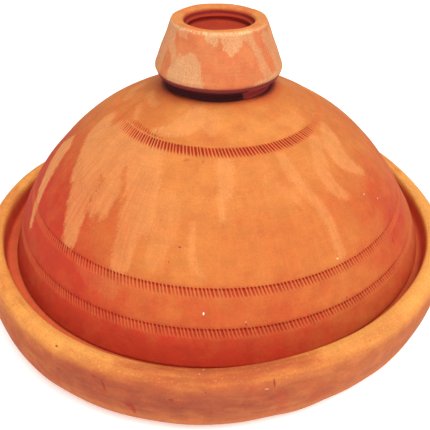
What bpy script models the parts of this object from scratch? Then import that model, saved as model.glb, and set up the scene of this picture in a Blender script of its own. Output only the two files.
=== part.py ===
"""A round earthenware tagine: a shallow dish, and a lid made of a hollow dome with a cup-shaped knob on top.

Each piece is a turned shape: half of its section, drawn as (radius, height), swept round +Z.
Metres, with +Z up and the origin at the middle of the foot that the dish stands on.
"""

import math

import bpy

COLLECTION = "tagine_pot"

# Dish, as (radius, height) points along its section
DISH_FLOOR_HEIGHT = 0.0100      # upper face of the bowl's floor
BOWL = (
    (0.0980, DISH_FLOOR_HEIGHT),
    (0.1115, 0.0120),
    (0.1210, 0.0185),
    (0.1254, 0.0248),
    (0.1270, 0.0270),           # inner edge of the ledge
)
RIM_AND_WALL = (
    (0.1348, 0.0270),           # outer edge of the ledge
    (0.1364, 0.0288),
    (0.1370, 0.0374),
    (0.1387, 0.0391),
    (0.1425, 0.0396),           # top of the rim
    (0.1463, 0.0376),
    (0.1487, 0.0328),
    (0.1501, 0.0225),           # widest part
    (0.1492, 0.0135),
    (0.1459, 0.0056),
    (0.1381, 0.0012),
    (0.1255, 0.0000),           # edge of the flat foot
)

# Dome, with the lid on its seat
CROWN_RADIUS = 0.0315           # edge of the flat top, under the knob
CROWN_HEIGHT = 0.1276
CROWN_THICKNESS = 0.0100
DOME = (
    (CROWN_RADIUS, CROWN_HEIGHT),
    (0.0410, 0.1229),
    (0.0573, 0.1151),
    (0.0738, 0.1055),
    (0.0903, 0.0930),
    (0.1040, 0.0787),
    (0.1150, 0.0642),
    (0.1233, 0.0494),
    (0.1281, 0.0381),
    (0.1313, 0.0292),
)
SEAT_HEIGHT = 0.0273            # 0.3 mm above the ledge
LID_EDGE = (
    (0.1317, SEAT_HEIGHT + 0.0012),
    (0.1305, SEAT_HEIGHT),
    (0.1245, SEAT_HEIGHT),
    (0.1231, SEAT_HEIGHT + 0.0014),
)
LID_WALL = 0.0076
INSIDE_START = SEAT_HEIGHT + 0.0060   # where the hollow takes over from the thick edge

# Combed bands round the dome, top one first: the radius at the upper edge of each
BAND_RADII = (0.0586, 0.1139, 0.1241)
BAND_WIDTH = 0.0044             # down the slope
BAND_DEPTH = 0.0005
BAND_FLANK = 0.0007             # width of the step on each side of a band

# Knob
CUP_FLOOR_HEIGHT = 0.1570
CUP = (
    (0.0140, CUP_FLOOR_HEIGHT),
    (0.0162, 0.1584),
    (0.0184, 0.1628),
    (0.0208, 0.1651),
)
FLANK = (
    (0.0254, 0.1655),           # top of the rim, and of the whole pot
    (0.0271, 0.1637),
    (0.0324, 0.1506),
    (0.0361, 0.1413),
    (0.0367, 0.1389),           # widest part
    (0.0362, 0.1371),
    (0.0344, 0.1341),
    (0.0302, 0.1329),           # top of the neck
    (0.0287, 0.1312),
    (0.0291, 0.1296),
)
NECK_FOOT_RADIUS = 0.0302
NECK_FOOT_HEIGHT = 0.1279       # 0.3 mm above the dome's flat top

DISH_STEPS = 60
LID_STEPS = 60
KNOB_STEPS = 40
CURVE_STEPS = 2                 # segments between two points of a section
MERGE_DISTANCE = 1e-5


def clear_scene():
    for obj in list(bpy.data.objects):
        bpy.data.objects.remove(obj)


def smooth_curve(points, steps):
    """A Catmull-Rom curve through the points, with `steps` segments between each two."""
    ends = [_reflect(points[1], points[0]), *points, _reflect(points[-2], points[-1])]
    curve = [points[0]]
    for before, start, end, after in zip(ends, ends[1:], ends[2:], ends[3:]):
        for step in range(1, steps + 1):
            t = step / steps
            weights = (
                -0.5 * t + t**2 - 0.5 * t**3,
                1 - 2.5 * t**2 + 1.5 * t**3,
                0.5 * t + 2 * t**2 - 1.5 * t**3,
                -0.5 * t**2 + 0.5 * t**3,
            )
            near = (before, start, end, after)
            curve.append(tuple(sum(w * p[k] for w, p in zip(weights, near)) for k in (0, 1)))
    return curve


def _reflect(point, about):
    return (2 * about[0] - point[0], 2 * about[1] - point[1])


def offset_curve(curve, distance):
    """The curve moved sideways, to its right as it runs."""
    moved = []
    for i, (r, z) in enumerate(curve):
        ahead = curve[min(i + 1, len(curve) - 1)]
        behind = curve[max(i - 1, 0)]
        run, rise = ahead[0] - behind[0], ahead[1] - behind[1]
        length = math.hypot(run, rise)
        moved.append((r + distance * rise / length, z - distance * run / length))
    return moved


def point_along(curve, distance):
    """The point at that distance along the curve, and the inward direction there."""
    for (r0, z0), (r1, z1) in zip(curve, curve[1:]):
        length = math.hypot(r1 - r0, z1 - z0)
        if distance <= length:
            break
        distance -= length
    run, rise = (r1 - r0) / length, (z1 - z0) / length
    return (r0 + distance * run, z0 + distance * rise), (rise, -run)


def distance_to_radius(curve, radius):
    """How far along an outward running curve the radius is reached."""
    total = 0.0
    for (r0, z0), (r1, z1) in zip(curve, curve[1:]):
        length = math.hypot(r1 - r0, z1 - z0)
        if r1 >= radius:
            return total + length * (radius - r0) / (r1 - r0)
        total += length
    return total


def with_bands(curve):
    """The dome's outer curve with a shallow flat-bottomed channel cut in below each band's upper edge."""
    marks = []
    travelled = 0.0
    for i, point in enumerate(curve):
        if i:
            travelled += math.dist(curve[i - 1], point)
        marks.append((travelled, 0.0))
    for radius in BAND_RADII:
        top = distance_to_radius(curve, radius)
        bottom = top + BAND_WIDTH
        marks = [mark for mark in marks if not top < mark[0] < bottom]
        marks += [(top, 0.0), (top + BAND_FLANK, BAND_DEPTH)]
        marks += [(bottom - BAND_FLANK, BAND_DEPTH), (bottom, 0.0)]
    banded = []
    for distance, depth in sorted(marks):
        (r, z), (inward_r, inward_z) = point_along(curve, distance)
        banded.append((r + depth * inward_r, z + depth * inward_z))
    return banded


def turned(name, profile, steps, material):
    """A closed solid: the profile swept a full turn round +Z. Both its ends lie on the axis."""
    mesh = bpy.data.meshes.new(name)
    vertices = [(r, 0.0, z) for r, z in profile]
    edges = [(i, i + 1) for i in range(len(profile) - 1)]
    mesh.from_pydata(vertices, edges, [])
    obj = bpy.data.objects.new(name, mesh)
    bpy.data.collections[COLLECTION].objects.link(obj)
    obj.data.materials.append(material)
    screw = obj.modifiers.new("Turn", "SCREW")
    screw.axis = "Z"
    screw.angle = math.tau
    screw.steps = steps
    screw.render_steps = steps
    screw.use_merge_vertices = True
    screw.merge_threshold = MERGE_DISTANCE
    screw.use_smooth_shade = True
    return obj


def clay(name, color, roughness):
    material = bpy.data.materials.new(name)
    material.use_nodes = True
    shader = material.node_tree.nodes["Principled BSDF"]
    shader.inputs["Base Color"].default_value = (*color, 1.0)
    shader.inputs["Roughness"].default_value = roughness
    shader.inputs["Metallic"].default_value = 0.0
    return material


def dish_profile():
    """Bowl floor, up to the ledge, over the thick rolled rim, down the wall to the flat foot."""
    bowl = smooth_curve(BOWL, CURVE_STEPS)
    rim_and_wall = smooth_curve(RIM_AND_WALL, CURVE_STEPS)
    return [(0.0, DISH_FLOOR_HEIGHT), *bowl, *rim_and_wall, (0.0, 0.0)]


def dome_profile():
    """Crown, outer curve with its bands, rounded lower edge, and the hollow inside."""
    outer = smooth_curve(DOME, CURVE_STEPS)
    inner = [point for point in offset_curve(outer, LID_WALL)[::CURVE_STEPS] if point[1] > INSIDE_START]
    ceiling = (0.0, CROWN_HEIGHT - CROWN_THICKNESS)
    return [(0.0, CROWN_HEIGHT), *with_bands(outer), *LID_EDGE, *reversed(inner), ceiling]


def knob_profile():
    """Cup floor and wall, flat rim, flaring flank, undercut, and the neck that stands on the dome."""
    cup = smooth_curve(CUP, CURVE_STEPS)
    flank = smooth_curve(FLANK, CURVE_STEPS)
    foot = [(NECK_FOOT_RADIUS, NECK_FOOT_HEIGHT), (0.0, NECK_FOOT_HEIGHT)]
    return [(0.0, CUP_FLOOR_HEIGHT), *cup, *flank, *foot]


def main():
    clear_scene()
    collection = bpy.data.collections.new(COLLECTION)
    bpy.context.scene.collection.children.link(collection)
    turned("dish", dish_profile(), DISH_STEPS, clay("dish_clay", (0.55, 0.20, 0.09), 0.85))
    turned("lid_dome", dome_profile(), LID_STEPS, clay("dome_clay", (0.62, 0.19, 0.06), 0.80))
    turned("lid_knob", knob_profile(), KNOB_STEPS, clay("knob_clay", (0.60, 0.28, 0.14), 0.88))


main()
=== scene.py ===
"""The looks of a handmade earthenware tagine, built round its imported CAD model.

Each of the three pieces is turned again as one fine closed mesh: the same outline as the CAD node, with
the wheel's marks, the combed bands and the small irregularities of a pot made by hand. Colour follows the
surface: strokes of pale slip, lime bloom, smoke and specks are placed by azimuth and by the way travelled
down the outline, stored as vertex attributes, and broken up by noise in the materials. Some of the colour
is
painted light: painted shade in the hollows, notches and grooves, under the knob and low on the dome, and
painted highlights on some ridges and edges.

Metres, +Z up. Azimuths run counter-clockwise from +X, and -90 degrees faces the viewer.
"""

import math
from collections import namedtuple

import bpy
import numpy as np
from mathutils import Matrix, Vector


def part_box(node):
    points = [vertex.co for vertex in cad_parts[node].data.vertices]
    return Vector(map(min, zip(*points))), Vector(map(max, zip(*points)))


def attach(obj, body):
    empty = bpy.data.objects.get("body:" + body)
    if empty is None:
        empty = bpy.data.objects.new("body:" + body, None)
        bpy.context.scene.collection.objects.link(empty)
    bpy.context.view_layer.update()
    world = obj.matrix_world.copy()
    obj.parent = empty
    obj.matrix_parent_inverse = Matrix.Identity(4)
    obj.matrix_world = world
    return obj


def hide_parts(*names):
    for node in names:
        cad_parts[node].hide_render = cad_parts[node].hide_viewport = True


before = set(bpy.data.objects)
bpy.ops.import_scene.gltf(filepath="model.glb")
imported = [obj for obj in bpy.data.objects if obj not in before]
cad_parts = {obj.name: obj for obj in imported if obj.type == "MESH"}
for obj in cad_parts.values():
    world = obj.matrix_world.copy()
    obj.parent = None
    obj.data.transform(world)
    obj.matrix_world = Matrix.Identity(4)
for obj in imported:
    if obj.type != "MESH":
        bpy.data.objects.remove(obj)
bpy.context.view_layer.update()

MM = 0.001
TURN = math.tau

# Heights and radii that the CAD model fixes
_, dish_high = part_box("dish")
dome_low, dome_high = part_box("lid_dome")
knob_low, knob_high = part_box("lid_knob")
DISH_RADIUS = dish_high.x
RIM_TOP = dish_high.z
SEAT = dome_low.z  # the lid's lower edge
LID_EDGE_RADIUS = dome_high.x
CROWN = dome_high.z  # flat top of the dome, under the knob
KNOB_FOOT = knob_low.z
KNOB_TOP = knob_high.z
KNOB_EDGE_RADIUS = knob_high.x

# Outline details that the boxes don't give
RIM_INNER_RADIUS = 0.1375
FOOT_RADIUS = 0.1255
BOWL_FLOOR = 0.0100
BOWL_FLOOR_RADIUS = 0.0980
LEDGE = SEAT - 0.0003
LEDGE_INNER_RADIUS = 0.1270
LEDGE_OUTER_RADIUS = 0.1364
LID_WALL = 0.0076
CROWN_RADIUS = 0.0315
CROWN_THICKNESS = 0.0100
NECK_RADIUS = 0.0287
NECK_FOOT_RADIUS = 0.0302
CUP_MOUTH_RADIUS = 0.0203
CUP_FLOOR_RADIUS = 0.0152
CUP_DEPTH = 0.0085

# Combed bands. Each fade lists the depth of a notch at shares of its length
TOP_FADE = ((-0.10, 0.0), (0.0, 0.95), (0.12, 1.0), (0.30, 0.95), (0.50, 0.85), (0.72, 0.6), (1.0, 0.0))
FADE = ((-0.07, 0.0), (0.0, 1.0), (0.13, 1.0), (0.24, 0.62), (0.48, 0.60), (0.74, 0.48), (1.0, 0.0))
Band = namedtuple("Band", "radius notches length fade second_row seed")
COMB_BANDS = (
    # radius is at the upper edge, top band first
    Band(0.0586, 200, 0.0066, TOP_FADE, True, 20),
    Band(0.1139, 360, 0.0054, FADE, False, 21),
    Band(0.1241, 390, 0.0054, FADE, False, 22),
)
COMB_TOOTH = (1.0, 0.90, 0.35, 0.0, 0.35, 0.90)  # depth across one notch
COMB_DEPTH = 0.0009
COMB_STEP = 0.00010  # drop of the surface at the upper edge
COMB_LIP = 0.00016  # clay pushed up between the notches
COMB_FIRMEST = math.radians(-65.0)  # azimuth at which the notches are cut deepest
COMB_FAINT = (0.78, 0.92)  # |cos(azimuth)| over which they turn faint, at the pot's two sides
COMB_STRAY = 0.10  # how far out of place a notch may be, as a share of the pitch
COMB_LEAN = 0.30  # sideways run of a notch for its length
OVERLAP_SHARES = (-0.80, -0.66, -0.52, -0.38, -0.24)  # rings for the top band's second row of notches
OVERLAP = (-152.0, -145.0, -116.0, -102.0)  # azimuths over which that row comes in and ends

# How the handmade pot strays from a turned one: the mm of the cosines and sines with 1, 2, 3... crests
DISH_RIM_WIDER = ((0.8, 0.4, 0.4), (0.5, 0.3, 0.2))
DISH_WALL_WIDER = ((-0.9, -0.4, 0.3, -0.3), (0.5, 0.8, 0.7, -0.7))
DISH_RIM_HIGHER = ((0.4, 0.0, -2.3), (0.8, 1.2, -0.7))
LID_WIDER = ((0.0, 0.4, 0.2), (0.0, 1.0, -0.2))
LID_SHIFT = (0.0021, 0.0019)  # the lid stands a little to the right and back on its ledge
LID_LEAN = 0.015
LID_TILT = 0.026

# Camera
CAMERA_ELEVATION = 35.17
CAMERA_ROLL = -0.546
CAMERA_DISTANCE = 0.4066
CAMERA_TARGET = (0.0008, 0.0, 0.0322)
CAMERA_LENS = 50.04
CAMERA_SENSOR = 36.0


# -------- outlines

def smooth_curve(points, spacing):
    """Points about `spacing` apart on a Catmull-Rom curve through the given (radius, height) points."""
    points = np.array(points, float)
    points = np.vstack([2 * points[0] - points[1], points, 2 * points[-1] - points[-2]])
    curve = [points[1:2]]
    for before, start, end, after in zip(points, points[1:], points[2:], points[3:]):
        steps = max(1, math.ceil(np.linalg.norm(end - start) / spacing))
        t = (np.arange(steps) + 1)[:, None] / steps
        curve.append(
            0.5 * (-t + 2 * t**2 - t**3) * before
            + (1 - 2.5 * t**2 + 1.5 * t**3) * start
            + 0.5 * (t + 4 * t**2 - 3 * t**3) * end
            + 0.5 * (t**3 - t**2) * after
        )
    return np.vstack(curve)


def travelled(curve):
    """The way gone along the curve at each of its points."""
    return np.r_[0, np.cumsum(np.hypot(*np.diff(curve, axis=0).T))]


def outward_of(curve):
    """The unit vector at each point that is square to the curve, to the left as it runs."""
    ahead = np.gradient(curve, axis=0)
    ahead /= np.linalg.norm(ahead, axis=1)[:, None]
    return np.column_stack([-ahead[:, 1], ahead[:, 0]])


def soften(curve, reach):
    """The curve with its corners worn round over about `reach`. Both ends stay where they are."""
    spacing = 0.2 * MM
    way = travelled(curve)
    even = np.linspace(0, way[-1], math.ceil(way[-1] / spacing))
    curve = np.column_stack([np.interp(even, way, curve[:, k]) for k in (0, 1)])
    half = max(1, round(reach / spacing))
    window = np.hanning(2 * half + 3)[1:-1]
    padded = np.vstack([2 * curve[0] - curve[half:0:-1], curve, 2 * curve[-1] - curve[-2:-half - 2:-1]])
    return np.column_stack([np.convolve(padded[:, k], window / window.sum(), "valid") for k in (0, 1)])


class Outline:
    """Half a section, as a line that gives its place and outward direction at any travel along it."""

    def __init__(self, *runs, wear=0.8 * MM):
        self.curve = soften(np.vstack(runs), wear)
        self.curve[[0, -1], 0] = 0.0
        self.way = travelled(self.curve)
        self.outward = outward_of(self.curve)

    def at(self, travel):
        return [np.interp(travel, self.way, self.curve[:, k]) for k in (0, 1)]

    def outward_at(self, travel):
        return [np.interp(travel, self.way, self.outward[:, k]) for k in (0, 1)]

    def nearest(self, radius, height):
        """The travel at which the outline passes closest to that point."""
        return self.way[np.argmin(np.hypot(self.curve[:, 0] - radius, self.curve[:, 1] - height))]


def dish_outline():
    """Bowl floor, its side up to the ledge, the rolled rim, the outer wall, and the foot."""
    bowl = smooth_curve([
        (BOWL_FLOOR_RADIUS, BOWL_FLOOR),
        (BOWL_FLOOR_RADIUS + 0.0135, BOWL_FLOOR + 0.0020),
        (LEDGE_INNER_RADIUS - 0.0060, BOWL_FLOOR + 0.0085),
        (LEDGE_INNER_RADIUS - 0.0016, LEDGE - 0.0022),
        (LEDGE_INNER_RADIUS, LEDGE),
    ], 0.5 * MM)
    rim = smooth_curve([
        (LEDGE_OUTER_RADIUS - 0.0016, LEDGE),
        (LEDGE_OUTER_RADIUS, LEDGE + 0.0018),
        (RIM_INNER_RADIUS - 0.0005, RIM_TOP - 0.0022),
        (RIM_INNER_RADIUS + 0.0012, RIM_TOP - 0.0005),
        (RIM_INNER_RADIUS + 0.0050, RIM_TOP),
        (RIM_INNER_RADIUS + 0.0088, RIM_TOP - 0.0020),
        (RIM_INNER_RADIUS + 0.0112, RIM_TOP - 0.0068),
        (DISH_RADIUS, 0.0225),
        (DISH_RADIUS - 0.0009, 0.0135),
        (DISH_RADIUS - 0.0042, 0.0056),
        (DISH_RADIUS - 0.0120, 0.0012),
        (FOOT_RADIUS, 0.0),
    ], 0.5 * MM)
    return Outline([(0.0, BOWL_FLOOR)], bowl, rim, [(0.0, 0.0)])


def dome_curve():
    """The outside of the dome, from the edge of its flat crown down to its lower edge."""
    return smooth_curve([
        (CROWN_RADIUS, CROWN),
        (0.0410, CROWN - 0.0047),
        (0.0573, CROWN - 0.0125),
        (0.0738, CROWN - 0.0221),
        (0.0903, CROWN - 0.0346),
        (0.1040, CROWN - 0.0489),
        (0.1150, CROWN - 0.0634),
        (0.1233, CROWN - 0.0782),
        (0.1281, CROWN - 0.0895),
        (LID_EDGE_RADIUS - 0.0004, SEAT + 0.0019),
    ], 0.5 * MM)


def dome_outline():
    """Crown, outer curve, rounded lower edge, and the hollow inside, LID_WALL from the outside."""
    outer = dome_curve()
    inner = outer - LID_WALL * outward_of(outer)
    inner = inner[inner[:, 1] > SEAT + 0.006][::-1]
    edge = [
        (LID_EDGE_RADIUS, SEAT + 0.0012),
        (LID_EDGE_RADIUS - 0.0012, SEAT),
        (LID_EDGE_RADIUS - 0.0072, SEAT),
        (LID_EDGE_RADIUS - 0.0086, SEAT + 0.0014),
    ]
    return Outline([(0.0, CROWN)], outer, edge, inner, [(0.0, CROWN - CROWN_THICKNESS)])


def knob_outline():
    """Cup floor and ringed wall, flat rim, flaring flank, bevel, undercut, and the neck on the dome."""
    floor = KNOB_TOP - CUP_DEPTH
    cup = smooth_curve([
        (CUP_FLOOR_RADIUS - 0.0020, floor),
        (CUP_FLOOR_RADIUS + 0.0010, floor + 0.0003),
        (CUP_FLOOR_RADIUS + 0.0034, floor + 0.0013),
        (CUP_FLOOR_RADIUS + 0.0036, floor + 0.0024),
        (CUP_FLOOR_RADIUS + 0.0026, floor + 0.0033),
        (CUP_FLOOR_RADIUS + 0.0030, floor + 0.0041),
        (CUP_FLOOR_RADIUS + 0.0044, floor + 0.0051),
        (CUP_MOUTH_RADIUS - 0.0006, KNOB_TOP - 0.0022),
        (CUP_MOUTH_RADIUS + 0.0006, KNOB_TOP - 0.0009),
        (CUP_MOUTH_RADIUS + 0.0026, KNOB_TOP - 0.0003),
    ], 0.3 * MM)
    flank = smooth_curve([
        (KNOB_EDGE_RADIUS - 0.0112, KNOB_TOP),
        (KNOB_EDGE_RADIUS - 0.0096, KNOB_TOP - 0.0018),
        (KNOB_EDGE_RADIUS - 0.0043, KNOB_TOP - 0.0149),
        (KNOB_EDGE_RADIUS - 0.0006, KNOB_TOP - 0.0242),
        (KNOB_EDGE_RADIUS, KNOB_TOP - 0.0266),
        (KNOB_EDGE_RADIUS - 0.0005, KNOB_TOP - 0.0284),
        (KNOB_EDGE_RADIUS - 0.0023, KNOB_TOP - 0.0314),
        (KNOB_EDGE_RADIUS - 0.0060, KNOB_TOP - 0.0325),
        (NECK_RADIUS + 0.0003, KNOB_TOP - 0.0336),
        (NECK_RADIUS, KNOB_TOP - 0.0350),
        (NECK_RADIUS + 0.0005, KNOB_TOP - 0.0362),
        (NECK_FOOT_RADIUS, KNOB_FOOT),
    ], 0.3 * MM)
    return Outline([(0.0, floor)], cup, flank, [(0.0, KNOB_FOOT)], wear=0.5 * MM)


# -------- turning

class Ring:
    """One ring of vertices: its travel down the outline, their azimuths, and their depths in a notch."""

    def __init__(self, travel, azimuths, notch=0.0):
        self.travel = travel
        self.azimuths = azimuths
        self.notch = np.broadcast_to(notch, azimuths.shape)


def plain_rings(outline, columns, *stretches):
    """Rings from the axis out and back to the axis. Each stretch is (travel at its end, spacing)."""
    azimuths = TURN * np.arange(columns) / columns
    rings = [Ring(0.0, np.zeros(1))]
    start = 0.0
    for end, spacing in stretches:
        steps = max(1, round((end - start) / spacing))
        rings += [Ring(start + (end - start) * (i + 1) / steps, azimuths) for i in range(steps)]
        start = end
    rings[-1] = Ring(outline.way[-1], np.zeros(1))
    return rings


def joined_rings(upper, lower, upper_start, lower_start):
    """Triangles between two rings of unlike counts, always taking the shorter way on."""
    turned_back = (lower - upper[0] + math.pi) % TURN - math.pi
    first = int(np.argmin(np.abs(turned_back)))
    above = np.append((upper - upper[0]) % TURN, TURN)
    below = np.append((np.roll(lower, -first) - lower[first]) % TURN, TURN) + turned_back[first]
    faces = []
    i = j = 0
    while i < len(upper) or j < len(lower):
        a = upper_start + i % len(upper)
        b = lower_start + (first + j) % len(lower)
        if j == len(lower) or (i < len(upper) and above[i + 1] <= below[j + 1]):
            i += 1
            faces.append((a, b, upper_start + i % len(upper)))
        else:
            j += 1
            faces.append((a, b, lower_start + (first + j) % len(lower)))
    return faces


def skin(rings):
    """Faces of the closed surface through all the rings, facing out."""
    faces = []
    start = 0
    for upper, lower in zip(rings, rings[1:]):
        count, next_count = len(upper.azimuths), len(lower.azimuths)
        below = start + count
        if count == next_count:
            here = np.arange(count)
            after = (here + 1) % count
            quads = np.column_stack([start + here, below + here, below + after, start + after])
            faces += quads.tolist()
        elif count == 1:
            faces += [(start, below + j, below + (j + 1) % next_count) for j in range(next_count)]
        elif next_count == 1:
            faces += [(start + i, below, start + (i + 1) % count) for i in range(count)]
        else:
            faces += joined_rings(upper.azimuths, lower.azimuths, start, below)
        start = below
    return faces


class Surface:
    """Every vertex of a turned piece, as flat arrays: its place on the outline and round the axis.

    `down` is the travel from the outline's landmark, from which brush strokes are placed.
    """

    def __init__(self, outline, rings, landmark):
        self.rings = rings
        self.travel = np.concatenate([np.full(len(ring.azimuths), ring.travel) for ring in rings])
        self.azimuth = np.concatenate([ring.azimuths for ring in rings])
        self.notch = np.concatenate([ring.notch for ring in rings])
        self.radius, self.height = outline.at(self.travel)
        self.out_r, self.out_z = outline.outward_at(self.travel)
        self.down = self.travel - landmark

    def raised(self, relief):
        """Radius and height with the surface raised by `relief` along its outward direction."""
        relief = np.where(self.radius > 0, relief, 0.0)
        return self.radius + relief * self.out_r, self.height + relief * self.out_z

    def below(self, start, end):
        """0 down to `start` mm from the landmark, 1 from `end` on, and smooth between."""
        return step_up(self.down, start * MM, end * MM)

    def around(self, degrees):
        """Signed angle from that azimuth, in radians."""
        return (self.azimuth - math.radians(degrees) + math.pi) % TURN - math.pi


def step_up(value, low, high):
    """0 below low, 1 above high, and smooth between."""
    t = np.clip((value - low) / (high - low), 0, 1)
    return t * t * (3 - 2 * t)


def waves(seed, surface, count, most_turns, shortest):
    """Smooth random relief of about -1 to 1 that closes round the axis."""
    rng = np.random.default_rng(seed)
    total = np.zeros_like(surface.azimuth)
    for _ in range(count):
        turns = int(rng.integers(0, most_turns + 1))
        pace = TURN / rng.uniform(shortest, 4 * shortest)
        total += np.cos(turns * surface.azimuth + pace * surface.travel + rng.uniform(0, TURN))
    return total / math.sqrt(count)


def wheel_marks(seed, surface, spacing):
    """The fine spiral ridges that fingers leave on the wheel, stronger in some places than in others."""
    wander = waves(seed, surface, 6, 2, 12 * spacing)
    ridges = np.cos(TURN * surface.travel / spacing + surface.azimuth + 3.0 * wander)
    return ridges * (0.6 + 0.4 * waves(seed + 1, surface, 5, 3, 20 * spacing))


def low_waves(azimuth, cosines, sines):
    """The waves round the pot that its irregularities are given as, in metres."""
    crests = np.arange(1, len(cosines) + 1)[:, None]
    total = np.array(cosines) @ np.cos(crests * azimuth) + np.array(sines) @ np.sin(crests * azimuth)
    return MM * total


def dent(surface, azimuth, down, around, along):
    """1 at the middle of an oval dent and 0 outside it. Sizes are half widths in mm."""
    across = surface.around(azimuth) * surface.radius / (around * MM)
    fall = (surface.down - down * MM) / (along * MM)
    return 1 - step_up(np.hypot(across, fall), 0.2, 1.0)


def add_object(name, data):
    made = bpy.data.objects.new(name, data)
    bpy.context.scene.collection.objects.link(made)
    return made


def build(name, surface, points, masks, material, body, node):
    """Makes the mesh with its attributes, and hands it to the frame in place of its CAD node."""
    mesh = bpy.data.meshes.new(name)
    mesh.from_pydata(np.column_stack(points).tolist(), [], skin(surface.rings))
    mesh.shade_smooth()
    for mask, values in {"way": surface.travel, **masks}.items():
        attribute = mesh.attributes.new(mask, "FLOAT", "POINT")
        attribute.data.foreach_set("value", np.asarray(values, np.float32))
    mesh.materials.append(material)
    piece = add_object(name, mesh)
    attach(piece, body)
    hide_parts(node)


# -------- painting

EDGE_REACH = 0.02  # metres from a stroke's edge at which its mask stops counting
TINY = 1e-12  # keeps the axis, where strokes have no length, from dividing by 0


def inside_stroke(surface, stroke):
    """How far inside a brush stroke each vertex lies.

    The stroke's points are (azimuth, down, half width), in degrees and mm.
    """
    inside = np.full_like(surface.azimuth, -EDGE_REACH)
    for (azimuth, down, width), (azimuth_on, down_on, width_on) in zip(stroke, stroke[1:]):
        across = surface.around(azimuth) * surface.radius
        fall = surface.down - down * MM
        run = math.radians(azimuth_on - azimuth) * surface.radius
        drop = (down_on - down) * MM
        share = np.clip((across * run + fall * drop) / (run**2 + drop**2 + TINY), 0, 1)
        half = (width + share * (width_on - width)) * MM
        inside = np.maximum(inside, half - np.hypot(across - share * run, fall - share * drop))
    return inside


def painted(surface, strokes, gaps):
    """Two masks: the distance inside the nearest stroke, cut by the gaps, and that stroke's strength."""
    edge = np.full_like(surface.azimuth, -EDGE_REACH)
    coat = np.zeros_like(edge)
    for strength, *stroke in strokes:
        inside = inside_stroke(surface, stroke)
        coat = np.where(inside > edge, strength, coat)
        edge = np.maximum(edge, inside)
    for gap in gaps:
        edge = np.minimum(edge, -inside_stroke(surface, gap))
    return np.clip(edge, -EDGE_REACH, EDGE_REACH), coat


def hazy(surface, strokes, blur):
    """A soft mask: each stroke fades out over `blur` metres about its edge."""
    haze = np.zeros_like(surface.azimuth)
    for strength, *stroke in strokes:
        haze = np.maximum(haze, strength * step_up(inside_stroke(surface, stroke), -blur, 0.5 * blur))
    return haze


# -------- materials

def rgb(red, green, blue):
    return (red, green, blue, 1.0)


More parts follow.
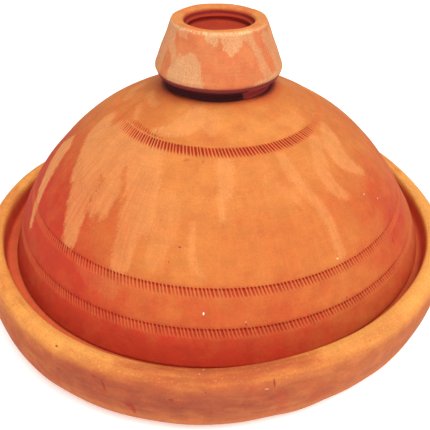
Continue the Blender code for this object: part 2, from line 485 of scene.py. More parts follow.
class Clay:
    """One piece's clay: short calls that each add a node to its material and return the node's output.

    `hues` are the colours that it is painted with, and `colour` is what has been painted so far.
    """

    def __init__(self, name, hues):
        self.material = bpy.data.materials.new(name)
        self.material.use_nodes = True
        self.tree = self.material.node_tree
        self.shader = self.tree.nodes["Principled BSDF"]
        self.place = self.add("TexCoord", "Object", {})
        self.hues = hues
        self.colour = hues["clay"]

    def add(self, kind, output, inputs, **settings):
        node = self.tree.nodes.new("ShaderNode" + kind)
        for key, value in settings.items():
            setattr(node, key, value)
        for key, value in inputs.items():
            self.feed(node.inputs[key], value)
        return node.outputs[output]

    def feed(self, socket, value):
        if isinstance(value, bpy.types.NodeSocket):
            self.tree.links.new(value, socket)
        else:
            socket.default_value = value

    def mask(self, name):
        return self.add("Attribute", "Fac", {}, attribute_name=name)

    def math(self, operation, first, second):
        return self.add("Math", 0, {0: first, 1: second}, operation=operation)

    def times(self, first, second):
        return self.math("MULTIPLY", first, second)

    def plus(self, first, second):
        return self.math("ADD", first, second)

    def noise(self, size, detail, roughness, place=None):
        """Noise whose features are about `size` metres across, from 0 to 1."""
        place = place or self.place
        inputs = {"Vector": place, "Scale": 1 / size, "Detail": detail, "Roughness": roughness}
        return self.add("TexNoise", "Fac", inputs)

    def vector(self, operation, first, second):
        return self.add("VectorMath", 0, {0: first, 1: second}, operation=operation)

    def streaks(self, height, length, detail=3.0):
        """Noise drawn out along the wheel's turning, like the marks of a wet hand or brush."""
        flat = self.vector("MULTIPLY", self.place, (height / length, height / length, 0.0))
        way = self.add("CombineXYZ", 0, {2: self.mask("way")})
        return self.noise(height, detail, 0.6, self.vector("ADD", flat, way))

    def drips(self, width, length, detail=3.0):
        """Noise drawn out down the slope, like slip that ran or was brushed downwards."""
        level = self.vector("MULTIPLY", self.place, (1.0, 1.0, 0.0))
        facing = self.add("VectorMath", 0, {0: level}, operation="NORMALIZE")
        around = self.add("VectorMath", 0, {0: facing, "Scale": LEDGE_INNER_RADIUS}, operation="SCALE")
        way = self.add("CombineXYZ", 0, {2: self.times(self.mask("way"), width / length)})
        return self.noise(width, detail, 0.6, self.vector("ADD", around, way))

    def remap(self, value, low, high, low_out=0.0, high_out=1.0):
        inputs = {0: value, 1: low, 2: high, 3: low_out, 4: high_out}
        return self.add("MapRange", 0, inputs, interpolation_type="SMOOTHSTEP")

    def mix(self, share, first, second):
        return self.add("Mix", 2, {0: share, 6: first, 7: second}, data_type="RGBA")

    def tint(self, name, share):
        """Paints on the hue of that name, as strongly as the share says."""
        self.colour = self.mix(share, self.colour, self.hues[name])

    def cover(self, name, strength=1.0):
        """Paints on the hue of that name where the mask of the same name is."""
        self.tint(name, self.times(self.mask(name), strength))

    def swing(self, value, reach):
        """A value from 0 to 1, as one from -reach / 2 to reach / 2."""
        return self.times(self.math("SUBTRACT", value, 0.5), reach)

    def coat(self, name, feather, fray, grain):
        """The strength of a painted mask's strokes, brushed thin in places and frayed at their edges."""
        brushed = self.drips(1.6 * fray, 16 * fray)
        run = self.swing(brushed, 2 * fray)
        ragged = self.swing(self.noise(3 * fray, 4.0, 0.6), 3 * fray)
        dust = self.swing(self.noise(grain, 2.0, 0.7), 3 * feather)
        strays = self.plus(run, self.plus(ragged, dust))
        edge = self.plus(self.mask(name + "_edge"), strays)
        inside = self.remap(edge, -0.5 * feather, 0.5 * feather)
        worn = self.remap(brushed, 0.3, 0.65, 0.65, 1.0)
        return self.times(self.times(inside, worn), self.mask(name + "_coat"))

    def spot(self, mark):
        """1 inside a small oval mark on the surface, fading out at its edge."""
        oval = {"Vector": self.place, "Location": mark.place, "Rotation": mark.turn, "Scale": mark.size}
        local = self.add("Mapping", 0, oval, vector_type="TEXTURE")
        length = self.add("VectorMath", "Value", {0: local}, operation="LENGTH")
        return self.remap(length, 1.3, 0.4)


class Mark:
    """A speck, pit or scratch: an oval on the surface, given by its middle and its half widths in mm."""

    DEPTH = 2.5 * MM

    def __init__(self, surface, points, azimuth, down, around, along, lean, tone):
        across = surface.around(azimuth) * surface.radius
        vertex = int(np.argmin(np.hypot(across, surface.down - down * MM)))
        slope = math.atan2(surface.out_z[vertex], surface.out_r[vertex])
        facing = Matrix.Rotation(math.radians(azimuth), 3, "Z") @ Matrix.Rotation(-slope, 3, "Y")
        self.turn = tuple((facing @ Matrix.Rotation(math.radians(-lean), 3, "X")).to_euler())
        self.place = tuple(float(axis[vertex]) for axis in points)
        self.size = (self.DEPTH, around * MM, along * MM)
        self.tone = tone


CLAY_SPECULAR = 0.15
TONES = {
    # tone of a mark, and how strongly it covers the clay
    "lime": (rgb(0.90, 0.84, 0.70), 0.95),
    "soot": (rgb(0.15, 0.045, 0.035), 0.85),
    "brick": (rgb(0.32, 0.035, 0.018), 0.85),
    "rust": (rgb(0.42, 0.055, 0.025), 0.5),
    "dust": (rgb(0.80, 0.52, 0.30), 0.55),
}


def finish_clay(clay, marks, roughness, grain_depth):
    """Adds what all the clay shares: wheel lines, grain, grit and the marks, then roughness and bump."""
    lines = clay.streaks(1.2 * MM, 25 * MM)
    grain = clay.noise(0.9 * MM, 3.0, 0.65)
    blotch = clay.noise(8 * MM, 4.0, 0.6)
    shade = clay.remap(lines, 0.3, 0.7, -0.02, 0.02)
    shade = clay.plus(shade, clay.remap(grain, 0.25, 0.75, -0.08, 0.08))
    shade = clay.plus(shade, clay.remap(blotch, 0.3, 0.7, 0.94, 1.06))
    colour = clay.add("VectorMath", 0, {0: clay.colour, "Scale": shade}, operation="SCALE")
    grit = {"Vector": clay.place, "Scale": 1 / (5 * MM), "Randomness": 1.0}
    far = clay.add("TexVoronoi", "Distance", grit)
    kind = clay.add("SeparateColor", 0, {0: clay.add("TexVoronoi", "Color", grit)})
    dark = clay.times(clay.remap(far, 0.085, 0.04), clay.math("LESS_THAN", kind, 0.10))
    light = clay.times(clay.remap(far, 0.075, 0.03), clay.math("GREATER_THAN", kind, 0.92))
    colour = clay.mix(clay.times(dark, 0.5), colour, TONES["rust"][0])
    colour = clay.mix(clay.times(light, 0.3), colour, TONES["dust"][0])
    pits = dark
    for mark in marks:
        tone, strength = TONES[mark.tone]
        spot = clay.times(clay.spot(mark), strength)
        colour = clay.mix(spot, colour, tone)
        pits = clay.math("MAXIMUM", pits, spot)
    height = clay.plus(clay.times(grain, 0.8), clay.times(lines, 0.15))
    height = clay.math("SUBTRACT", height, clay.times(pits, 1.5))
    bump = {"Height": height, "Distance": grain_depth, "Strength": 1.0}
    sockets = clay.shader.inputs
    clay.feed(sockets["Base Color"], colour)
    clay.feed(sockets["Roughness"], clay.remap(blotch, 0.3, 0.7, roughness - 0.05, roughness + 0.05))
    clay.feed(sockets["Specular IOR Level"], CLAY_SPECULAR)
    clay.feed(sockets["Normal"], clay.add("Bump", "Normal", bump))
    return clay.material


# -------- dish

DISH_COLUMNS = 480
WIDEST_HEIGHT = 0.0225
DISH_HUES = {
    "clay": rgb(0.71, 0.305, 0.066),
    "deeper": rgb(0.65, 0.240, 0.052),
    "brushed": rgb(0.53, 0.145, 0.036),
    "wiped": rgb(0.70, 0.330, 0.100),
    "pale": rgb(0.73, 0.325, 0.076),
    "tan": rgb(0.42, 0.092, 0.030),
    "dark grit": rgb(0.46, 0.100, 0.030),
    "light grit": rgb(0.76, 0.390, 0.120),
    # deep red on the rim's inside, partly the clay's colour and partly painted shade under the lid
    "inner": rgb(0.60, 0.082, 0.033),
    "wall": rgb(0.50, 0.140, 0.050),
    "smoke": rgb(0.34, 0.066, 0.027),
    "scum": rgb(0.46, 0.150, 0.056),
    "soot": rgb(0.24, 0.044, 0.026),
    "rust": rgb(0.42, 0.060, 0.028),
}
DISH_MARKS = (
    # azimuth, down from the rim's inner edge, half width, half length, lean, tone
    (-79.0, 12.5, 0.45, 2.6, 0, "brick"),
    (-80.5, 15.2, 1.3, 0.4, 10, "dust"),
    (-106.0, 30.0, 1.3, 4.5, -8, "brick"),
    (-106.3, 27.0, 2.6, 1.5, 20, "brick"),
    (-112.0, 18.5, 0.7, 3.8, -24, "brick"),
    (-114.0, 15.0, 1.6, 0.5, 20, "brick"),
    (-83.5, 14.5, 1.7, 2.0, 0, "rust"),
    (-97.0, 21.0, 2.6, 1.0, 12, "rust"),
    (-98.2, 19.0, 1.4, 0.7, -10, "brick"),
    (-92.4, 1.5, 0.6, 0.5, 0, "dust"),
    (-92.8, 4.6, 0.5, 0.4, 0, "dust"),
    (-57.0, 9.0, 0.4, 0.4, 0, "rust"),
    (-124.0, 9.0, 0.9, 0.6, 10, "brick"),
    (48.0, 9.0, 0.5, 0.5, 0, "soot"),
    (96.0, 20.0, 0.5, 3.0, 12, "brick"),
    (151.0, 15.0, 0.8, 0.7, 0, "rust"),
)
DISH_TAN = (
    # strength, then (azimuth, down from the rim's inner edge, half width) along each smear
    (1.0, (-109, 6, 3), (-96, 5, 7), (-80, 6, 6), (-70, 7, 3)),
    (0.5, (-70, 9, 3), (-58, 9, 4), (-48, 8, 2)),
    (1.0, (-120, 14, 3), (-106, 14, 6), (-92, 14, 6), (-80, 13, 4)),
)
DISH_PALE = (
    (0.8, (-66, 2, 4), (-50, 3, 6), (-30, 3, 6), (-8, 3, 6), (14, 3, 5)),
    (0.7, (-132, 3, 3), (-116, 3, 4), (-108, 2, 2)),
)
DISH_SOOT = ((1.0, (-122, 21, 3), (-104, 22, 6), (-88, 23, 5), (-76, 22, 2)),)
DISH_RUST = (
    (0.6, (-77.5, 20, 1), (-77, 32, 1.5)),
    (0.4, (-71, 24, 1), (-70, 33, 1)),
)
DISH_DENTS = (
    # depth in mm, then azimuth, down, and half widths around and along
    (0.7, -105.5, 29, 2.2, 7),
    (0.4, -79, 12, 1.8, 4),
    (0.5, -97, 31, 3, 3),
)


def dish_strays(surface, rim):
    """How much wider and higher than turned the dish is at each vertex. Ledge and foot stay true."""
    outside = surface.travel > rim
    high = step_up(surface.height, 0.014, 0.036)
    rim_wider = low_waves(surface.azimuth, *DISH_RIM_WIDER)
    wall_wider = low_waves(surface.azimuth, *DISH_WALL_WIDER) - 0.4 * MM
    outer = (high * rim_wider + (1 - high) * wall_wider) * step_up(surface.height, 0, 8 * MM)
    inner = rim_wider * step_up(surface.height, LEDGE, RIM_TOP - 2 * MM)
    start = np.where(outside, 2 * MM, LEDGE)
    rise = low_waves(surface.azimuth, *DISH_RIM_HIGHER) * step_up(surface.height, start, RIM_TOP)
    return np.where(outside, outer, inner), rise


def make_dish():
    outline = dish_outline()
    bowl = outline.nearest(BOWL_FLOOR_RADIUS, BOWL_FLOOR)
    ledge = outline.nearest(LEDGE_INNER_RADIUS, LEDGE)
    rim = outline.nearest(RIM_INNER_RADIUS, RIM_TOP - 1.2 * MM)
    wall = outline.nearest(DISH_RADIUS, WIDEST_HEIGHT)
    foot = outline.nearest(FOOT_RADIUS, 0.0)
    rings = plain_rings(
        outline, DISH_COLUMNS, (bowl, 5 * MM), (ledge, 2 * MM), (rim, 0.9 * MM),
        (wall, 0.8 * MM), (foot, 1.1 * MM), (outline.way[-1], 7 * MM),
    )
    surface = Surface(outline, rings, rim)
    outside = surface.below(6, 16) * step_up(foot - surface.travel, 0, 8 * MM)
    relief = 0.25 * MM * waves(11, surface, 14, 9, 18 * MM)
    relief += 0.22 * MM * waves(14, surface, 18, 34, 16 * MM) * surface.below(18, 28)
    relief += 0.07 * MM * wheel_marks(12, surface, 3.1 * MM) * (0.4 + 0.6 * outside)
    for depth, *oval in DISH_DENTS:
        relief -= depth * MM * dent(surface, *oval)
    relief *= step_up(np.abs(surface.height - LEDGE), 0, 1.5 * MM) * step_up(surface.height, 0, 3 * MM)
    radius, height = surface.raised(relief)
    wider, rise = dish_strays(surface, rim)
    radius = radius + wider
    points = (radius * np.cos(surface.azimuth), radius * np.sin(surface.azimuth), height + rise)
    marks = [Mark(surface, points, *mark) for mark in DISH_MARKS]
    masks = dish_masks(surface, rim)
    build("dish_clay_body", surface, points, masks, dish_clay(marks), "dish", "dish")


def dish_masks(surface, rim):
    """Where each hue lies on the dish. The smoke is a belt round the wall, thickest in front."""
    belt = surface.below(9, 16) * (1 - 0.40 * surface.below(30, 40))
    facing = 0.5 + 0.5 * np.cos(surface.around(-105))
    smoke = belt * (0.35 + 0.65 * facing**1.5 + 0.15 * waves(13, surface, 10, 7, 30 * MM))
    below_rim = rim - surface.travel
    # the rim's inside is a deep red down to the ledge, a little less on the ledge: partly the clay's
    # colour, partly painted shade in the gap under the lid
    inner = step_up(below_rim, 1.0 * MM, 4.5 * MM) * (1 - 0.15 * step_up(below_rim, 11 * MM, 13 * MM))
    return {
        "smoke": np.clip(smoke, 0, 1),
        "soot": hazy(surface, DISH_SOOT, 7 * MM),
        "tan": hazy(surface, DISH_TAN, 8 * MM),
        "pale": hazy(surface, DISH_PALE, 7 * MM),
        "rust": hazy(surface, DISH_RUST, 3 * MM),
        "inner": inner,
        "wall": surface.below(8, 20),
    }


def dish_clay(marks):
    clay = Clay("dish_clay", DISH_HUES)
    brushed = clay.streaks(3 * MM, 22 * MM, 4.0)
    wiped = clay.streaks(6 * MM, 30 * MM, 4.0)
    grit = clay.noise(1.4 * MM, 4.0, 0.75)
    cloudy = clay.remap(clay.noise(14 * MM, 5.0, 0.7), 0.25, 0.65, 0.40, 0.90)
    sooty = clay.remap(clay.streaks(5 * MM, 15 * MM, 5.0), 0.3, 0.6, 0.15, 0.70)
    clay.tint("deeper", clay.remap(clay.noise(24 * MM, 4.0, 0.6), 0.35, 0.65))
    clay.tint("brushed", clay.remap(brushed, 0.45, 0.70, 0.0, 0.6))
    clay.tint("wiped", clay.remap(wiped, 0.38, 0.18, 0.0, 0.5))
    clay.cover("pale")
    clay.cover("tan", clay.remap(wiped, 0.3, 0.6, 0.55, 1.0))
    clay.tint("dark grit", clay.remap(grit, 0.50, 0.70, 0.0, 0.42))
    clay.tint("light grit", clay.remap(grit, 0.45, 0.28, 0.0, 0.40))
    # partly painted shade on the rim's inside
    clay.cover("inner")
    clay.cover("wall", 0.6)
    clay.cover("smoke", cloudy)
    clay.tint("scum", clay.times(clay.mask("smoke"), clay.remap(wiped, 0.48, 0.72, 0.0, 0.6)))
    clay.cover("soot", sooty)
    clay.cover("rust")
    return finish_clay(clay, marks, 0.85, 0.3 * MM)


# -------- dome

DOME_COLUMNS = 288
INSIDE_DEEP = 0.6  # how much of the deep red and painted shade the hollow inside gets
DOME_HUES = {
    "clay": rgb(0.525, 0.162, 0.036),
    "deeper": rgb(0.500, 0.132, 0.030),
    # paler clay, also laid on as painted light in front of the knob
    "haze": rgb(0.590, 0.205, 0.048),
    "brushed": rgb(0.590, 0.200, 0.052),
    # deep red, partly the clay's own colour and partly painted shade low down and at the dome's sides
    "deep_red_and_shade": rgb(0.440, 0.036, 0.013),
    "slip": rgb(0.635, 0.250, 0.080),
    # painted highlight on the clay pushed up between the notches
    "ridge": rgb(0.610, 0.180, 0.056),
    # painted shade in the combed notches, as deep as they are cut
    "comb": rgb(0.330, 0.014, 0.006),
    # painted shadow round the knob's neck on the crown, and its softer fringe
    "neck_shadow_fringe": rgb(0.480, 0.060, 0.018),
    "neck_shadow": rgb(0.120, 0.014, 0.012),
}
DOME_SLIP = (
    # strength, then (azimuth, down from the knob's neck, half width) along each stroke
    (0.75, (-166, 41, 5), (-160, 50, 9), (-150, 58, 12), (-146, 68, 11)),
    (0.66, (-148, 44, 12), (-144, 60, 14), (-142, 74, 10), (-138.5, 89, 7.6), (-135.5, 103, 5.4)),
    (0.60, (-135, 44, 12), (-132, 60, 10), (-131, 72, 9), (-130.5, 80, 7)),
    (0.55, (-126, 44, 12), (-120, 60, 11), (-115, 76, 10)),
    (0.45, (-118, 76, 8), (-117, 90, 6.5), (-117, 103, 5.5)),
    (0.30, (-108, 68, 8), (-107, 84, 7), (-108, 98, 4)),
    (
        0.95, (-173, 70, 3), (-171, 79, 10), (-167, 87, 8),
        (-163.5, 96, 5.5), (-160.5, 105, 4), (-156, 119, 2),
    ),
    (0.55, (-88, 43, 4.8), (-87.6, 52, 4.4), (-88.5, 62, 3.0), (-89.6, 73, 1.2)),
    (0.40, (-98.2, 76, 2.0), (-98, 88, 2.2), (-97, 96, 1.6), (-94, 103, 0.8)),
    (
        0.50, (-60, 42, 2.6), (-60, 52, 3.6), (-58, 64, 3.3),
        (-55.5, 74, 3.0), (-54, 84, 3.0), (-54.5, 103, 2.6),
    ),
    (0.25, (-70, 43, 1.2), (-70.5, 50, 1.6), (-71, 55, 1.8), (-67, 61, 3.0), (-62, 68, 2.4)),
    (0.50, (-36, 42, 4), (-42, 50, 4.6), (-45.5, 58, 4.8), (-46, 68, 4.6), (-44.5, 73, 4), (-42, 77, 2.4)),
    (0.60, (-20, 40, 3), (-25, 46, 6), (-30, 52, 7.5), (-32, 60, 7), (-29.5, 67, 5), (-26.5, 74, 2)),
    (0.16, (-129, 111, 3), (-124, 115, 5), (-118, 117, 5)),
    (0.68, (-107, 8, 4), (-106, 14, 8), (-114, 21, 7), (-122, 26, 4), (-131, 29, 1.6)),
    (0.45, (-98, 12, 5), (-96, 19, 5), (-94, 23, 2.5)),
    (0.45, (-166, 13, 3), (-148, 15, 2)),
    (0.40, (-158, 22, 2.5), (-148, 28, 1.5)),
    (0.40, (-198, 24, 4), (-178, 28, 3)),
    (0.25, (-42, 24, 4), (-34, 26, 6)),
)
DOME_GAPS = (
    # bare strips between the strokes, given in the same way
    ((-129.5, 55, 0.4), (-126.5, 63, 1.6), (-122.8, 73, 0.8)),
    ((-137.5, 65, 0.4), (-135.6, 67, 2.0), (-134.6, 71, 0.5)),
    ((-130.8, 83, 0.8), (-129.0, 90, 3.4), (-126.6, 98, 6.6), (-126.0, 104, 7.4)),
    ((-39.5, 55, 0.4), (-39.5, 66, 2.2), (-37.5, 78, 4.0)),
)
# paler patches; the last stroke is painted light on the top of the dome in front of the knob
DOME_HAZE = (
    (0.30, (-24, 16, 6), (-12, 30, 8)),
    (0.25, (-12, 72, 5), (-14, 80, 4)),
    (0.45, (-110, 52, 14), (-92, 56, 14), (-70, 54, 14), (-54, 52, 10)),
    (1.00, (-112, 14, 10), (-84, 16, 12), (-60, 18, 12), (-42, 22, 9)),
)
DOME_MARKS = (
    # azimuth, down from the knob's neck, half width, half length, lean, tone
    (-94.0, 120.5, 0.50, 0.8, 0, "lime"),
    (-31.7, 116.3, 0.8, 1.3, 15, "soot"),
    (-31.0, 118.0, 0.6, 1.2, -20, "brick"),
    (-34.2, 83.0, 0.7, 0.6, 0, "dust"),
    (-29.0, 91.8, 0.6, 0.6, 0, "dust"),
    (-84.0, 125.6, 0.7, 0.6, 0, "brick"),
    (-83.2, 125.0, 0.4, 0.4, 0, "dust"),
    (-56.8, 126.0, 0.7, 0.5, 0, "brick"),
    (-44.0, 125.8, 0.5, 0.5, 0, "rust"),
    (-101.8, 87.2, 0.9, 0.5, 0, "soot"),
    (-104.0, 96.0, 0.4, 0.4, 0, "brick"),
    (-69.0, 75.5, 0.5, 0.4, 0, "rust"),
    (-62.5, 73.8, 0.5, 0.5, 0, "rust"),
    (-135.0, 73.5, 0.5, 0.5, 0, "brick"),
    (-105.0, 41.6, 1.8, 0.9, -25, "rust"),
    (-97.5, 41.2, 0.8, 0.9, 0, "rust"),
    (-111.5, 34.0, 1.6, 0.8, 0, "brick"),
    (-56.0, 103.6, 1.0, 0.6, 20, "dust"),
)


def comb_rings(start, band):
    """The fine rings of one combed band. Their columns follow its leaning, unevenly cut notches."""
    rng = np.random.default_rng(band.seed)
    across = len(COMB_TOOTH)
    column = np.arange(band.notches * across)
    notch = column // across
    pitch = TURN / band.notches
    azimuths = column * pitch / across + rng.uniform(-COMB_STRAY, COMB_STRAY, band.notches)[notch] * pitch
    pressure = 0.88 + 0.12 * np.cos(azimuths - COMB_FIRMEST)
    pressure += 0.06 * np.cos(azimuths * 5 + rng.uniform(0, TURN))
    pressure *= 1 - 0.55 * step_up(np.abs(np.cos(azimuths)), *COMB_FAINT)
    cut = np.array(COMB_TOOTH)[column % across] * pressure * rng.uniform(0.78, 1.0, band.notches)[notch]
    lean = COMB_LEAN * band.length / band.radius
    depths = second_row(azimuths, np.roll(cut, across // 2)) if band.second_row else []
    depths += [(share, depth * cut) for share, depth in band.fade]
    return [Ring(start + share * band.length, azimuths + share * lean, depth) for share, depth in depths]


def second_row(azimuths, cut):
    """Where the comb overlapped itself: a short slanting row of fainter notches above the band."""
    degrees = (np.degrees(azimuths) + 180) % 360 - 180
    begin, full, fade, end = OVERLAP
    there = step_up(degrees, begin, full) * (1 - step_up(degrees, fade, end))
    early = 0.75 * (1 - step_up(degrees, full, end))
    depths = []
    for share in OVERLAP_SHARES:
        along = step_up(share + early, 0, 0.1) * (1 - step_up(share + early, 0.45, 0.75))
        depths.append((share, 0.6 * cut * there * along))
    return depths


def with_comb(rings, comb):
    """The rings with those of one band put in, in place of the plain ones that lie in its way."""
    margin = 0.6 * MM
    above = [ring for ring in rings if ring.travel < comb[0].travel - margin]
    below = [ring for ring in rings if ring.travel > comb[-1].travel + margin]
    return above + comb + below


def lid_strays(radius, height, azimuth):
    """Where a point of the turned lid really is: out of round, leaning, and off the dish's middle."""
    radius = radius + low_waves(azimuth, *LID_WIDER) * radius / LID_EDGE_RADIUS
    across = radius * np.cos(azimuth) + LID_SHIFT[0] + LID_LEAN * (height - SEAT)
    tilt = LID_TILT * step_up(height, SEAT + 3 * MM, SEAT + 33 * MM)
    return across, radius * np.sin(azimuth) + LID_SHIFT[1], height - tilt * radius * np.cos(azimuth)


def make_dome():
    outline = dome_outline()
    curve = dome_curve()
    crown = outline.nearest(CROWN_RADIUS, CROWN)
    edge = outline.nearest(LID_EDGE_RADIUS, SEAT + 3 * MM)
    seat = outline.nearest(LID_EDGE_RADIUS - 0.0086, SEAT + 1.4 * MM)
    rings = plain_rings(
        outline, DOME_COLUMNS,
        (crown, 5 * MM), (edge, 1.6 * MM), (seat, 0.8 * MM), (outline.way[-1], 4 * MM),
    )
    starts = [outline.nearest(band.radius, np.interp(band.radius, *curve.T)) for band in COMB_BANDS]
    for start, band in zip(starts, COMB_BANDS):
        rings = with_comb(rings, comb_rings(start, band))
    surface = Surface(outline, rings, outline.nearest(NECK_RADIUS, CROWN))
    relief, ridge = dome_relief(surface, starts)
    radius, height = surface.raised(relief)
    points = lid_strays(radius, height, surface.azimuth)
    marks = [Mark(surface, points, *mark) for mark in DOME_MARKS]
    masks = dome_masks(surface, seat, ridge)
    build("lid_dome_clay", surface, points, masks, dome_clay(marks), "lid", "lid_dome")


def dome_relief(surface, starts):
    """How far the dome's surface is raised, and the ridges between the notches of its bands."""
    relief = 0.30 * MM * waves(21, surface, 16, 6, 25 * MM)
    relief += 0.05 * MM * wheel_marks(22, surface, 3.4 * MM)
    relief *= step_up(np.abs(surface.height - SEAT), 0, 3 * MM) * step_up(surface.radius, 0.028, 0.034)
    ridge = np.zeros_like(relief)
    for start, band in zip(starts, COMB_BANDS):
        share = (surface.travel - start) / band.length
        combed = step_up(share, -0.05, 0.05) * (1 - step_up(share, 0.75, 1.0))
        ridge = np.maximum(ridge, combed * (1 - surface.notch))
        relief -= COMB_STEP * step_up(share, -0.05, 0.02) * np.clip(1 - share, 0, 1)
    relief += COMB_LIP * ridge - COMB_DEPTH * surface.notch
    return relief, ridge


def dome_masks(surface, seat, ridge):
    """Where each hue lies on the dome. Its colour is deepest low down and on its left and right, partly
    the clay's own deeper red and partly painted shade where the dome turns from the light.
    """
    edge_slip, coat_slip = painted(surface, DOME_SLIP + drips_behind(), DOME_GAPS)
    turn = np.degrees(surface.around(-90))
    sides = 1 - step_up(np.abs(turn), 110, 175)
    # painted shade with the clay's deeper red: low down, and on the left and right, least where the light
    # falls on the right
    low = 0.5 * surface.below(98, 116) + 0.5 * surface.below(122, 140)
    low *= 1 - 0.60 * sides * step_up(turn, 5, 55)
    left = 0.95 * sides * step_up(-turn, 14, 58) * surface.below(45, 95)
    right = 0.80 * sides * step_up(turn, 32, 70) * surface.below(50, 96)
    right *= 1 - 0.45 * step_up(turn, 64, 84)
    right *= 1 - 0.6 * surface.below(112, 132)
    # painted shadow under the knob's overhang, reaching furthest out at the dome's two sides
    reach = 4.2 * MM * np.abs(np.cos(surface.azimuth)) ** 1.5
    return {
        "slip_edge": edge_slip,
        "slip_coat": coat_slip,
        "haze": hazy(surface, DOME_HAZE, 9 * MM),
        "deep_red_and_shade": np.where(surface.travel < seat, np.clip(low + left + right, 0, 1), INSIDE_DEEP),
        # notch depth, which the material turns into painted shade
        "comb": surface.notch,
        "ridge": ridge,
        "neck_shadow_fringe": 0.7 * (1 - step_up(surface.down, reach, reach + 8.0 * MM)),
        "neck_shadow": 1 - step_up(surface.down, reach - 0.8 * MM, reach + 2.0 * MM),
    }


def drips_behind():
    """Slip on the side that faces away: broad veils like the one in front, with runs between them."""
    rng = np.random.default_rng(23)
    strokes = [
        (0.55, (28, 40, 7), (33, 56, 12), (37, 74, 9), (40, 92, 5)),
        (0.35, (40, 44, 8), (46, 66, 9), (49, 88, 6)),
        (0.50, (104, 39, 8), (100, 54, 14), (96, 70, 11), (95, 86, 6), (93, 101, 3)),
        (0.30, (84, 42, 7), (88, 60, 8), (86, 80, 6)),
        (0.40, (66, 10, 6), (76, 20, 8), (90, 27, 3)),
        (0.30, (10, 12, 4), (24, 22, 6)),
    ]
    azimuth = 12.0
    while azimuth < 168:
        start, length = rng.uniform(40, 62), rng.uniform(10, 58)
        width, drift = rng.uniform(1.2, 4.6), rng.uniform(-4, 4)
        middle = (azimuth + 0.3 * drift, start + 0.5 * length, width)
        end = (azimuth + drift, start + length, 0.4 * width)
        strokes.append((rng.uniform(0.15, 0.5), (azimuth, start, 0.8 * width), middle, end))
        azimuth += rng.uniform(8, 30)
    return tuple(strokes)


def dome_clay(marks):
    clay = Clay("dome_clay", DOME_HUES)
    cloud = clay.remap(clay.noise(14 * MM, 5.0, 0.65), 0.3, 0.7, -0.16, 0.16)
    patchy = clay.remap(clay.noise(12 * MM, 4.0, 0.65), 0.35, 0.65, 0.5, 1.0)
    clay.tint("deeper", clay.remap(clay.noise(40 * MM, 4.0, 0.6), 0.35, 0.65))
    # paler patches, and painted light in front of the knob
    clay.cover("haze", patchy)
    clay.tint("brushed", clay.remap(clay.drips(3.5 * MM, 60 * MM, 5.0), 0.45, 0.75, 0.0, 0.25))
    # deep red with painted shade, low down and at the sides, broken up by the cloud noise
    clay.tint("deep_red_and_shade", clay.add("Clamp", 0, {0: clay.plus(clay.mask("deep_red_and_shade"), cloud)}))
    clay.tint("slip", clay.coat("slip", 2.6 * MM, 1.4 * MM, 0.8 * MM))
    # painted highlight on the ridges between the notches
    clay.cover("ridge", 0.28)
    # painted shade in the notches
    clay.tint("comb", clay.remap(clay.mask("comb"), 0.05, 0.70))
    # painted shadow round the knob's neck, and its softer fringe
    clay.cover("neck_shadow_fringe")
    clay.cover("neck_shadow")
    return finish_clay(clay, marks, 0.80, 0.15 * MM)


# -------- knob

KNOB_COLUMNS = 288
GROOVES = (-2.4 * MM, 2.4 * MM)  # the cup wall's two rings, from the lip between them
KNOB_HUES = {
    "clay": rgb(0.535, 0.168, 0.060),
    "deeper": rgb(0.515, 0.135, 0.048),
    "bloom": rgb(0.565, 0.318, 0.150),
    # painted shade inside the cup, darker with depth, and in its two grooves
    "inside": rgb(0.345, 0.034, 0.013),
    "groove_shade": rgb(0.170, 0.012, 0.012),
    # pale clay along the rim's outer edge: partly wear, partly a painted highlight strongest in front
    "worn": rgb(0.720, 0.480, 0.240),
    # painted shade under the knob: the down-facing bevel, the undercut, and the undercut's bounce-lit
    # right
    "bevel": rgb(0.185, 0.026, 0.026),
    "under": rgb(0.050, 0.007, 0.009),
    "bounce_lit_shade": rgb(0.265, 0.030, 0.026),
}
KNOB_TOP_HUES = (rgb(0.58, 0.215, 0.058), rgb(0.56, 0.160, 0.045))
KNOB_BLOOM = (
    # strength, then (azimuth, down from the rim's outer edge, half width) along each stroke
    (0.85, (-101, 1, 3.5), (-95, 4.5, 2.0)),
    (0.85, (-92, 0.5, 2), (-76, 0, 7.5), (-77, 5, 5.5), (-78, 10.5, 1.4)),
    (0.70, (-66, 1, 3), (-56, 3, 3), (-52, 9, 1.5)),
    (0.95, (-134, 25, 5), (-126, 20, 6.5), (-116, 22, 6), (-107, 27, 2.4)),
    (0.80, (-124, 15, 2.2), (-118, 14, 3.0), (-113, 17, 3)),
    (0.60, (-132, 14, 1.6), (-128, 17, 2.4)),
    (0.65, (-176, 8, 10), (-164, 20, 9)),
    (0.75, (-156, 2, 6), (-150, 8, 4), (-141, 13, 2.4), (-138, 17, 2.4)),
    (0.60, (-146, 1, 2), (-134, 2, 2.5), (-128, 4, 1.0)),
    (0.60, (-48, 11, 2.4), (-46, 18, 2.6), (-42, 25, 3.6)),
    (0.60, (-30, 6, 4), (-22, 14, 6), (-18, 23, 6)),
    (0.55, (-8, 8, 7), (0, 20, 6)),
    (0.95, (-140, 28, 1.2), (-126, 27.6, 1.6), (-106, 28, 1.3)),
    (0.95, (-58, 28.2, 0.7), (-40, 27.2, 2.0), (-20, 27.4, 1.4)),
    (0.60, (20, 6, 7), (35, 14, 6), (44, 24, 4)),
    (0.55, (70, 20, 8), (88, 24, 5)),
    (0.60, (112, 4, 6), (120, 14, 5)),
    (0.65, (150, 12, 7), (162, 22, 6)),
)
KNOB_GAPS = (
    ((-152, 16, 0.8), (-148, 23, 3.4), (-147, 27, 4.2)),
    ((-32, 12, 0.8), (-31, 19, 1.6), (-30, 22, 0.6)),
)


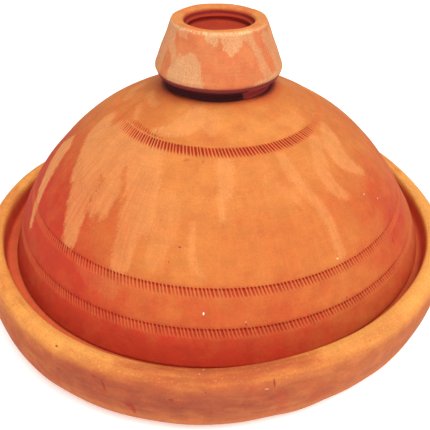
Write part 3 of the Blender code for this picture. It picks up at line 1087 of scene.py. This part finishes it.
def make_knob():
    outline = knob_outline()
    cup = outline.nearest(CUP_FLOOR_RADIUS - 0.002, KNOB_TOP - CUP_DEPTH)
    lip = outline.nearest(CUP_FLOOR_RADIUS + 0.0026, KNOB_TOP - CUP_DEPTH + 0.0033)
    rim = outline.nearest(KNOB_EDGE_RADIUS - 0.0100, KNOB_TOP - 0.0006)
    edge = outline.nearest(KNOB_EDGE_RADIUS, KNOB_TOP - 0.0266)
    neck = outline.nearest(NECK_FOOT_RADIUS, KNOB_FOOT)
    rings = plain_rings(
        outline, KNOB_COLUMNS, (cup, 0.9 * MM), (rim, 0.45 * MM),
        (edge, 0.6 * MM), (neck, 0.6 * MM), (outline.way[-1], 3 * MM),
    )
    surface = Surface(outline, rings, rim)
    free = step_up(surface.height, KNOB_FOOT, KNOB_FOOT + 6 * MM) * step_up(surface.radius, 0, 4 * MM)
    relief = 0.13 * MM * waves(31, surface, 14, 7, 12 * MM)
    relief += 0.05 * MM * wheel_marks(32, surface, 2.2 * MM)
    chipped = step_up(waves(33, surface, 12, 30, 6 * MM), 0.5, 2.0)
    arris = near(surface.down, 28.5 * MM, 1.2 * MM) + near(surface.down, 0, 1.0 * MM)
    relief -= 0.45 * MM * chipped * arris
    points = lid_strays(*surface.raised(relief * free), surface.azimuth)
    masks = knob_masks(surface, rim, lip)
    build("lid_knob_clay", surface, points, masks, knob_clay(), "lid", "lid_knob")


def near(value, middle, width):
    """1 where the value is at the middle, falling off like a bell over `width`."""
    return np.exp(-((value - middle) / width) ** 2)


def knob_masks(surface, rim, lip):
    """Where each hue lies on the knob. The bevel and undercut are painted shade, near black, with a brown,
    bounce-lit painted shade for a stretch on the right.
    """
    edge_bloom, coat_bloom = painted(surface, KNOB_BLOOM, KNOB_GAPS)
    # where bounced light lifts the undercut's painted shade to brown
    past = np.degrees(surface.around(-64))
    bounce_lit_shade = step_up(past, 0, 4) * (1 - step_up(past, 70, 115))
    neck_share = surface.below(31.2, 32.2)
    in_cup = surface.travel < rim
    depth = KNOB_TOP - surface.height
    # painted shade inside the cup, deepening with depth
    inside = in_cup * step_up(depth, 0.6 * MM, 2.6 * MM) * step_up(surface.radius, 0, 2 * MM)
    front = 0.35 + 0.65 * step_up(np.cos(surface.around(-95)), 0.2, 0.7)
    rubbed = 0.8 + 0.3 * waves(34, surface, 10, 9, 9 * MM)
    return {
        "bloom_edge": edge_bloom,
        "bloom_coat": coat_bloom,
        # painted shade on the down-facing bevel and in the undercut
        "bevel": surface.below(28.6, 29.6),
        "under": neck_share * (1 - bounce_lit_shade),
        "bounce_lit_shade": neck_share * bounce_lit_shade,
        "inside": inside,
        "groove_shade": in_cup * sum(near(surface.travel, lip + shift, 0.8 * MM) for shift in GROOVES),
        # wear along the rim's outer edge with a painted highlight, strongest in front
        "worn": np.clip(front * near(surface.down, 0.5 * MM, 0.9 * MM) * rubbed, 0, 1),
        "top": step_up(-surface.down, -0.3 * MM, 0.8 * MM),
    }


def knob_clay():
    clay = Clay("knob_clay", KNOB_HUES)
    patch = clay.noise(12 * MM, 4.0, 0.6)
    powder = clay.remap(clay.noise(0.8 * MM, 3.0, 0.75), 0.35, 0.62, 0.45, 1.0)
    bare = clay.remap(clay.noise(1.2 * MM, 3.0, 0.7), 0.35, 0.55)
    clay.tint("deeper", clay.remap(patch, 0.35, 0.65))
    clay.tint("bloom", clay.times(clay.coat("bloom", 1.3 * MM, 1.1 * MM, 0.45 * MM), powder))
    top = clay.mix(clay.remap(patch, 0.4, 0.6), KNOB_TOP_HUES[0], KNOB_TOP_HUES[1])
    clay.colour = clay.mix(clay.mask("top"), clay.colour, top)
    # painted shade inside the cup and in its grooves
    clay.cover("inside")
    clay.cover("groove_shade")
    # wear and a painted highlight on the rim's outer edge
    clay.cover("worn", bare)
    # painted shade under the knob's flare
    clay.cover("bevel")
    clay.cover("under")
    clay.cover("bounce_lit_shade")
    return finish_clay(clay, [], 0.88, 0.25 * MM)


# -------- studio

SOFTBOXES = (
    # name, place, size, power, colour
    ("key", (0.45, -0.7, 1.5), 1.1, 25.5, (1.0, 0.98, 0.95)),
    ("fill", (-1.2, -1.0, 1.0), 1.2, 6.0, (1.0, 1.0, 1.0)),
)
SOFTBOX_AIM = (0.0, 0.0, 0.08)
ROOM_LIGHT = 0.63
WHITE = rgb(1.0, 1.0, 1.0)
FLOOR_REACH = 6.0
FLOOR_PAPER = {
    "Base Color": rgb(0.93, 0.93, 0.93),
    "Roughness": 0.9,
    "Emission Color": WHITE,
    "Emission Strength": 0.28,  # lifts the paper to white, as in a lightbox
}


def softbox(name, place, size, power, warmth):
    """A square area lamp that faces the pot."""
    lamp = bpy.data.lights.new(name, "AREA")
    lamp.shape = "SQUARE"
    lamp.size = size
    lamp.energy = power
    lamp.color = warmth
    box = add_object(name, lamp)
    box.location = place
    box.rotation_euler = (Vector(SOFTBOX_AIM) - Vector(place)).to_track_quat("-Z", "Y").to_euler()


def make_floor():
    paper = bpy.data.materials.new("floor_paper")
    paper.use_nodes = True
    for socket, value in FLOOR_PAPER.items():
        paper.node_tree.nodes["Principled BSDF"].inputs[socket].default_value = value
    mesh = bpy.data.meshes.new("floor")
    signs = ((-1, -1), (1, -1), (1, 1), (-1, 1))
    mesh.from_pydata([(x * FLOOR_REACH, y * FLOOR_REACH, 0) for x, y in signs], [], [(0, 1, 2, 3)])
    mesh.materials.append(paper)
    floor = add_object("floor", mesh)


def make_studio():
    make_floor()
    for lamp in SOFTBOXES:
        softbox(*lamp)
    world = bpy.data.worlds.new("studio")
    world.use_nodes = True
    background = world.node_tree.nodes["Background"]
    background.inputs["Color"].default_value = WHITE
    background.inputs["Strength"].default_value = ROOM_LIGHT
    bpy.context.scene.world = world
    bpy.context.scene.view_settings.view_transform = "Standard"


def make_camera():
    camera = add_object("camera", bpy.data.cameras.new("camera"))
    camera.data.lens = CAMERA_LENS
    camera.data.sensor_width = CAMERA_SENSOR
    camera.data.clip_start = 0.01
    elevation = math.radians(CAMERA_ELEVATION)
    back = Vector((0, -math.cos(elevation), math.sin(elevation)))
    level = (-back).to_track_quat("-Z", "Y").to_matrix()
    facing = (level @ Matrix.Rotation(math.radians(CAMERA_ROLL), 3, "Z")).to_quaternion()
    place = Vector(CAMERA_TARGET) + CAMERA_DISTANCE * back
    camera.matrix_world = Matrix.LocRotScale(place, facing, None)
    bpy.context.scene.camera = camera


make_camera()
make_studio()
make_dish()
make_dome()
make_knob()
